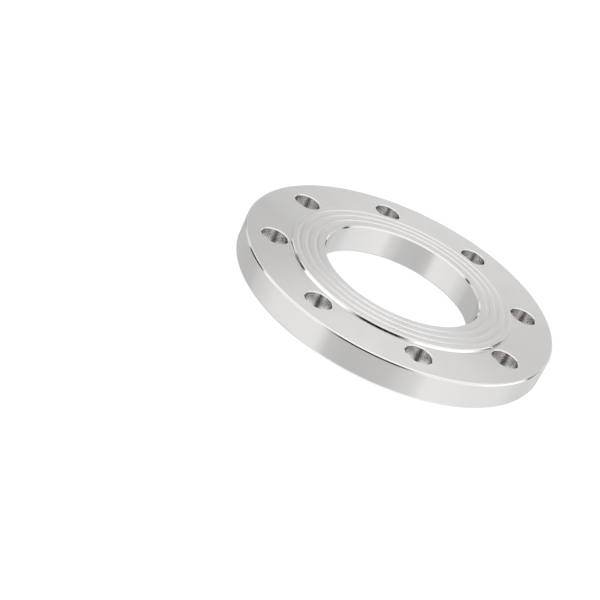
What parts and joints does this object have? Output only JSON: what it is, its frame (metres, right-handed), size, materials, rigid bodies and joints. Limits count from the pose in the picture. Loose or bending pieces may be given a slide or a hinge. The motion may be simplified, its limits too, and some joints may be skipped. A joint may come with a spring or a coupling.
{
  "type": "pipe flange",
  "caption": "Flat ring flange for welding onto a pipe, with a raised sealing face, concentric gasket grooves, a plain bore and a circle of chamfered bolt holes.",
  "frame": {"origin": "centre of the bore at the flat back face, which the flange lies on", "axes": "+Z along the bore axis, from the back face to the raised sealing face; X and Y pass midway between bolt holes"},
  "size_m": [0.22, 0.22, 0.021],
  "materials": {
    "turned_steel": "bright stainless steel, fine-turned all over, with fine concentric tool marks"
  },
  "bodies": {
    "root": {"flange": "turned_steel"}
  },
  "joints": []
}
